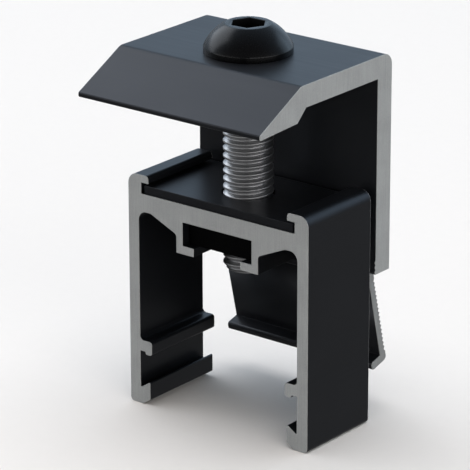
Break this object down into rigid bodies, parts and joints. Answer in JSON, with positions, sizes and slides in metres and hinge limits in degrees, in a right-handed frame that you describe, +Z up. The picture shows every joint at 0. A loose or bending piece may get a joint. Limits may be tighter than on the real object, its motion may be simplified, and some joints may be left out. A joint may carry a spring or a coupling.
{
  "type": "solar end clamp",
  "caption": "Solar module end clamp: extruded rail base with hooked legs, L-shaped top clamp, button head bolt in a square nut, and a toothed spring tongue behind.",
  "frame": {"origin": "on the bolt axis, at the level of the feet of the base, midway along the rail's direction", "axes": "+X across the rail, +Y along the rail and away from the module, +Z up"},
  "size_m": [0.0356, 0.0368, 0.0646],
  "materials": {
    "black_anodised": "satin",
    "bare_aluminium": "sawn and milled",
    "stainless_steel": "bright",
    "black_steel": "gloss"
  },
  "bodies": {
    "base": {"rail_base": "black_anodised", "spring_tongue": "black_anodised", "square_nut": "black_steel"},
    "clamp": {"top_clamp": "black_anodised"},
    "bolt": {"clamp_bolt": "black_steel"}
  },
  "joints": [
    {"name": "clamp_slide", "type": "slide", "parent": "base", "child": "clamp", "axis": [0, 0, 1], "range_m": [-0.015, 0.004], "deforming": ["spring_tongue"]},
    {"name": "bolt_turn", "type": "hinge", "parent": "clamp", "child": "bolt", "pos_m": [0, 0, 0.06], "axis": [0, 0, 1], "range_deg": [-4320, 1152]}
  ],
  "couplings": [
    {"joint": "bolt_turn", "follows": "clamp_slide", "rad_per_m": 5026.5}
  ]
}
